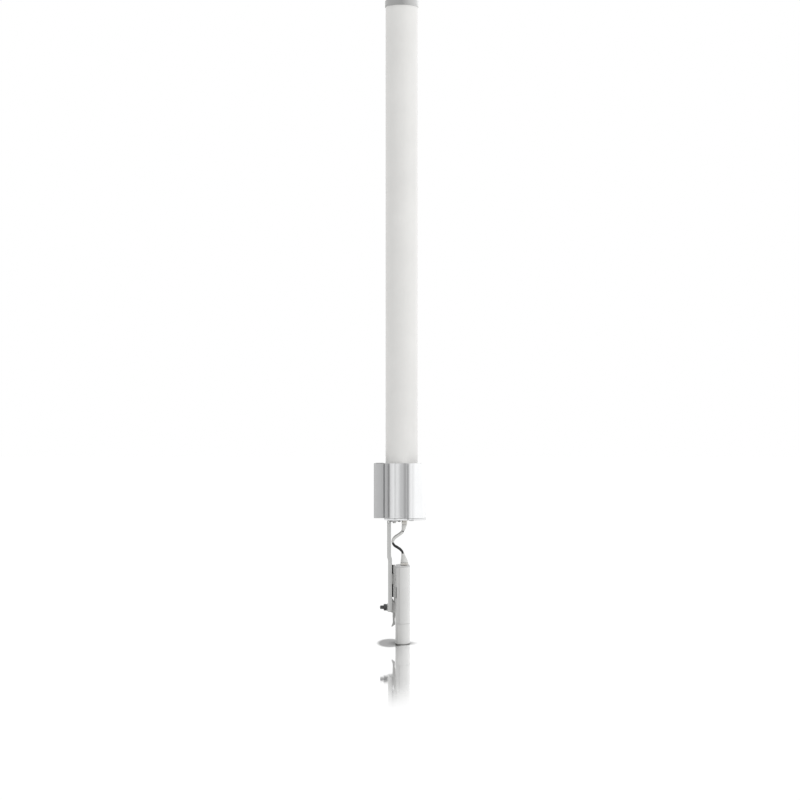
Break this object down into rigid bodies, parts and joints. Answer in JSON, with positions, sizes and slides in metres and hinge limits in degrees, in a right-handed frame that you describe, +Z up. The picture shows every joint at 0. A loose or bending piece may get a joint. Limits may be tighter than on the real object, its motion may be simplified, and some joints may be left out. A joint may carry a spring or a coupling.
{
  "type": "omnidirectional antenna",
  "caption": "Tall tubular outdoor antenna in a fluted aluminium pole bracket, with a slim radio hung below on a folded channel and joined by short jumper cables.",
  "frame": {"origin": "on the radome axis, in the plane of the radio's lower end, which is the object's lowest face", "axes": "+Z up along the radome, +X to the front, away from the pole, +Y completes the right-handed frame"},
  "size_m": [0.107, 0.0884, 1.3192],
  "materials": {
    "radome_white": "satin, very fine grain",
    "cap_grey": "semi-gloss moulded",
    "radio_light": "fine satin texture",
    "plastic_dark": "satin",
    "rubber_black": "matte",
    "rubber_grey": "matte",
    "aluminium_bright": "extruded, clear anodised, fine draw lines along the length",
    "aluminium_satin": "brushed sheet",
    "steel_bright": "bright zinc",
    "steel_dark": "dark zinc",
    "brass_contact": "bright",
    "nickel": "satin nickel plate",
    "board_green": "solder mask",
    "foam_white": "closed-cell foam",
    "clear_guide": "clear, polished"
  },
  "bodies": {
    "antenna_frame": {"radome_tube": "radome_white", "top_cap": "cap_grey", "top_cap_seal": "rubber_black", "radiator_spine": "aluminium_satin", "radiator_board_vertical": "board_green", "radiator_board_horizontal": "board_green", "foam_spacer_lower": "foam_white", "foam_spacer_middle": "foam_white", "foam_spacer_upper": "foam_white", "base_plug": "plastic_dark", "base_plug_seal": "rubber_black", "feed_coax_left": "brass_contact", "feed_coax_right": "brass_contact", "bracket_extrusion": "aluminium_bright", "base_end_plate": "aluminium_bright", "end_plate_screw_1": "steel_bright", "end_plate_screw_2": "steel_bright", "end_plate_screw_3": "steel_bright", "end_plate_screw_4": "steel_bright", "antenna_jack_left": "brass_contact", "antenna_jack_right": "brass_contact", "jack_nut_left": "nickel", "jack_nut_right": "nickel", "vent_plug": "plastic_dark", "hanger_channel": "aluminium_satin", "hanger_screw_left": "steel_bright", "hanger_screw_right": "steel_bright", "mount_pad_upper": "rubber_black", "mount_pad_lower": "rubber_black", "mount_bolt": "steel_dark", "mount_washer": "steel_bright", "mount_nut": "steel_dark", "radio_mount": "radio_light", "latch_pin": "steel_bright", "radio_front_shell": "radio_light", "radio_back_shell": "radio_light", "shell_gasket": "rubber_black", "connector_panel": "plastic_dark", "radio_board": "board_green", "rf_shield": "nickel", "radio_jack_left": "brass_contact", "radio_jack_right": "brass_contact", "ethernet_jack": "nickel", "light_pipe": "clear_guide", "ground_screw": "steel_bright", "jumper_left_top_boot": "rubber_grey", "jumper_left_cable": "rubber_black", "jumper_left_sleeve": "rubber_grey", "jumper_left_bottom_boot": "rubber_grey", "jumper_right_top_boot": "rubber_grey", "jumper_right_cable": "rubber_black", "jumper_right_sleeve": "rubber_grey", "jumper_right_bottom_boot": "rubber_grey"},
    "port_cover": {"port_cover": "radio_light"},
    "reset_button": {"reset_button": "plastic_dark"},
    "mount_latch": {"mount_latch": "radio_light"},
    "left_top_nut": {"jumper_left_top_nut": "nickel"},
    "left_bottom_nut": {"jumper_left_bottom_nut": "nickel"},
    "right_top_nut": {"jumper_right_top_nut": "nickel"},
    "right_bottom_nut": {"jumper_right_bottom_nut": "nickel"}
  },
  "joints": [
    {"name": "left_top_nut_turn", "type": "hinge", "parent": "antenna_frame", "child": "left_top_nut", "pos_m": [0.0055, -0.02, 0.2469], "axis": [0, 0, 1], "continuous": true},
    {"name": "left_bottom_nut_turn", "type": "hinge", "parent": "antenna_frame", "child": "left_bottom_nut", "pos_m": [0.0055, -0.02, 0.16325], "axis": [0, 0, 1], "continuous": true},
    {"name": "right_top_nut_turn", "type": "hinge", "parent": "antenna_frame", "child": "right_top_nut", "pos_m": [0.0055, 0.02, 0.2469], "axis": [0, 0, 1], "continuous": true},
    {"name": "right_bottom_nut_turn", "type": "hinge", "parent": "antenna_frame", "child": "right_bottom_nut", "pos_m": [0.0055, 0.02, 0.16325], "axis": [0, 0, 1], "continuous": true},
    {"name": "port_cover_slide", "type": "slide", "parent": "antenna_frame", "child": "port_cover", "axis": [0, 0, -1], "range_m": [0, 0.038]},
    {"name": "reset_button_press", "type": "slide", "parent": "antenna_frame", "child": "reset_button", "axis": [0, 0, 1], "range_m": [0, 0.0012], "stiffness_N_per_m": 400},
    {"name": "mount_latch_release", "type": "hinge", "parent": "antenna_frame", "child": "mount_latch", "pos_m": [-0.0166, 0, 0.057], "axis": [0, 1, 0], "range_deg": [0, 16], "stiffness_Nm_per_rad": 0.4}
  ]
}
